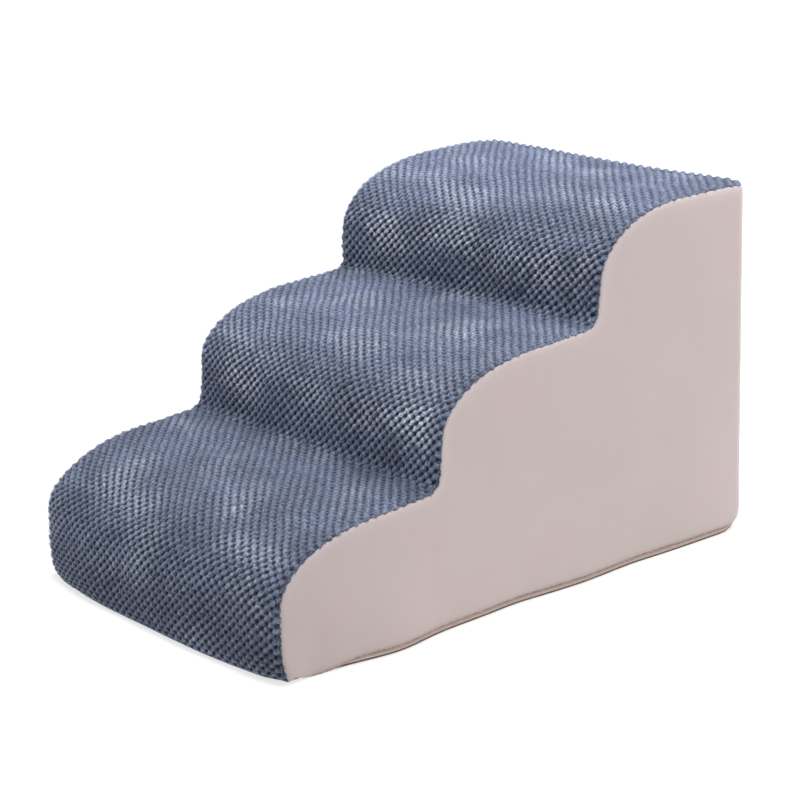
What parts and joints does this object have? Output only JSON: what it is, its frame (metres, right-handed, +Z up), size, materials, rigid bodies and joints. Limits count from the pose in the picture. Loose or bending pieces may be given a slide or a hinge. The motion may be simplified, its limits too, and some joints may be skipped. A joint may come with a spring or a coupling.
{
  "type": "pet stairs",
  "caption": "Foam pet stairs with rounded steps, in a zipped cover of knobbly plush over the steps and plain velvet on the sides, to help a dog onto a sofa or bed.",
  "frame": {"origin": "on the floor, at the middle of the base fabric's underside", "axes": "+Z up, +Y the way the stairs climb, +X to the right of a pet that climbs them"},
  "size_m": [0.4028, 0.6078, 0.367],
  "materials": {
    "foam": "matte",
    "knob_fabric": "matte",
    "velvet": "matte",
    "base_fabric": "matte",
    "zip_tape": "matte",
    "zip_coil": "satin",
    "zip_metal": "satin"
  },
  "bodies": {
    "stairs": {"foam_base_slab": "foam", "foam_middle_slab": "foam", "foam_top_slab": "foam", "tread_panel": "knob_fabric", "side_panel_right": "velvet", "side_panel_left": "velvet", "back_panel": "velvet", "base_panel": "base_fabric", "zip_tape_upper": "zip_tape", "zip_tape_lower": "zip_tape", "zip_coil_upper": "zip_coil", "zip_coil_lower": "zip_coil", "zip_top_stop_upper": "zip_metal", "zip_top_stop_lower": "zip_metal", "zip_bottom_stop": "zip_metal"},
    "slider": {"zip_slider": "zip_metal"},
    "pull": {"zip_pull": "zip_metal"}
  },
  "joints": [
    {"name": "zip_slider_travel", "type": "slide", "parent": "stairs", "child": "slider", "axis": [0, 1, 0], "range_m": [0, 0.513]},
    {"name": "zip_pull_swing", "type": "hinge", "parent": "slider", "child": "pull", "pos_m": [-0.201, -0.239, 0.005], "axis": [0, 0, -1], "range_deg": [0, 178]}
  ]
}
